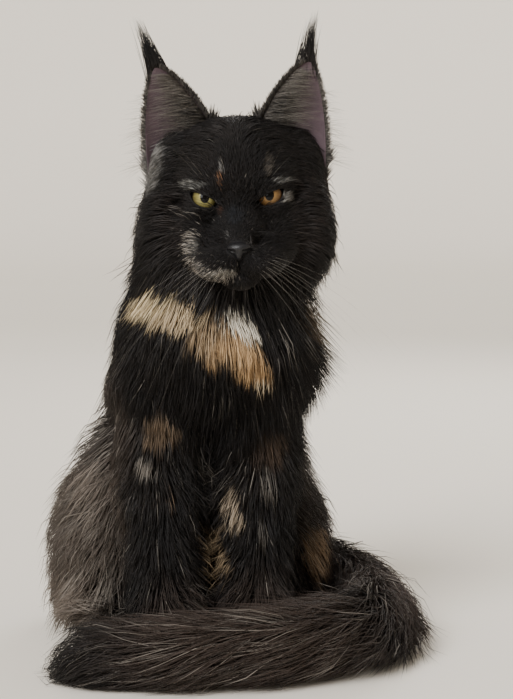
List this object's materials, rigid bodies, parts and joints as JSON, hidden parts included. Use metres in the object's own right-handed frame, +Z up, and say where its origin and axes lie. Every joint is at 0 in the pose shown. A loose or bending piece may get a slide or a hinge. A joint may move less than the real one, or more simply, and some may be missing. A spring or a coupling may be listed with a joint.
{
  "type": "maine coon cat",
  "caption": "Long-haired cat sitting upright, head turned to the viewer, ruff full, tail wrapped round its side and across its front paws.",
  "frame": {"origin": "on the floor, at the middle of the flat on which the rump rests", "axes": "+Z up from the floor to the ears, -Y the way the chest faces, +X towards the cat's left side"},
  "size_m": [0.3061, 0.3425, 0.4923],
  "materials": {
    "coat_black": "dense, soft, satin black-brown tortoiseshell fur with tan, cream and silver marks",
    "coat_brown": "long, soft grey-brown fur of the haunches and back",
    "tail_fur": "very long, loose dark brown-black fur with paler brown strands",
    "ear_fur": "short velvety black fur outside, mauve-grey skin with pale hairs inside",
    "eye": "wet, glossy amber eye with a dark pupil",
    "nose_leather": "moist, finely grained black-brown nose leather"
  },
  "bodies": {
    "root": {"head": "coat_black", "neck": "coat_black", "chest": "coat_black", "rump": "coat_brown", "foreleg_right": "coat_black", "foreleg_left": "coat_black", "forepaw_right": "coat_black", "forepaw_left": "coat_black", "thigh_right": "coat_brown", "thigh_left": "coat_brown", "hindpaw_right": "coat_black", "hindpaw_left": "coat_black", "tail_root": "tail_fur", "tail_side": "tail_fur", "tail_front": "tail_fur", "tail_tip": "tail_fur", "ear_right": "ear_fur", "ear_left": "ear_fur", "eye_right": "eye", "eye_left": "eye", "nose": "nose_leather"}
  },
  "joints": []
}
